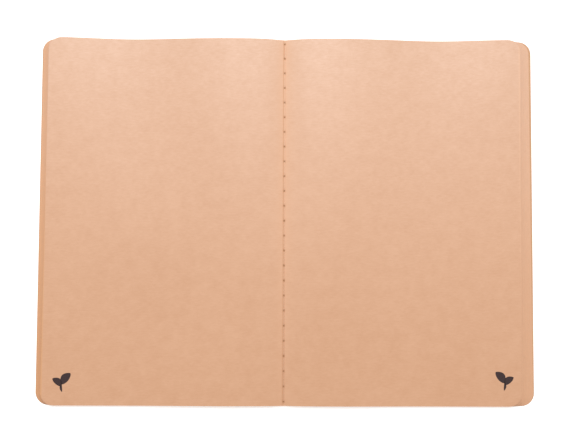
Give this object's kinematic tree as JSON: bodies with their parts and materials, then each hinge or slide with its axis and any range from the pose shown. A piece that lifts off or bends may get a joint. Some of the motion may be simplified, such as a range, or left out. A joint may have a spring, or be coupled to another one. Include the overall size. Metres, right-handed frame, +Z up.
{
  "type": "pocket notebook",
  "caption": "Soft-cover pocket notebook of plain kraft paper, one signature machine-sewn through the fold, lying open flat at the middle spread.",
  "frame": {"origin": "middle of the fold, on the surface the open notebook lies on", "axes": "+X across the spread towards the back cover's fore-edge, +Y up the pages to their head, +Z up from the table"},
  "size_m": [0.202, 0.15, 0.0039],
  "materials": {
    "paper": "uncoated kraft text paper",
    "cover_card": "uncoated kraft card",
    "thread": "spun polyester sewing thread"
  },
  "bodies": {
    "back_half": {"back_cover": "cover_card", "cover_spine": "cover_card", "sheet_creases": "paper", "needle_thread": "thread", "bobbin_thread": "thread", "leaf_14": "paper", "leaf_15": "paper", "leaf_16": "paper", "leaf_17": "paper", "leaf_18": "paper", "leaf_19": "paper", "leaf_20": "paper", "leaf_21": "paper", "leaf_22": "paper", "leaf_23": "paper", "leaf_24": "paper"},
    "front_half": {"front_cover": "cover_card", "leaf_01": "paper", "leaf_02": "paper", "leaf_03": "paper", "leaf_04": "paper", "leaf_05": "paper", "leaf_06": "paper", "leaf_07": "paper", "leaf_08": "paper", "leaf_09": "paper", "leaf_10": "paper", "leaf_11": "paper"},
    "left_top_leaf": {"leaf_12": "paper"},
    "right_top_leaf": {"leaf_13": "paper"}
  },
  "joints": [
    {"name": "cover_fold", "type": "hinge", "parent": "back_half", "child": "front_half", "pos_m": [0, 0, 0.0037], "axis": [0, 1, 0], "range_deg": [0, 177]},
    {"name": "left_leaf_turn", "type": "hinge", "parent": "front_half", "child": "left_top_leaf", "pos_m": [0, 0, 0.0037], "axis": [0, -1, 0], "range_deg": [-177, 0]},
    {"name": "right_leaf_turn", "type": "hinge", "parent": "back_half", "child": "right_top_leaf", "pos_m": [0, 0, 0.0037], "axis": [0, 1, 0], "range_deg": [-177, 0]}
  ]
}
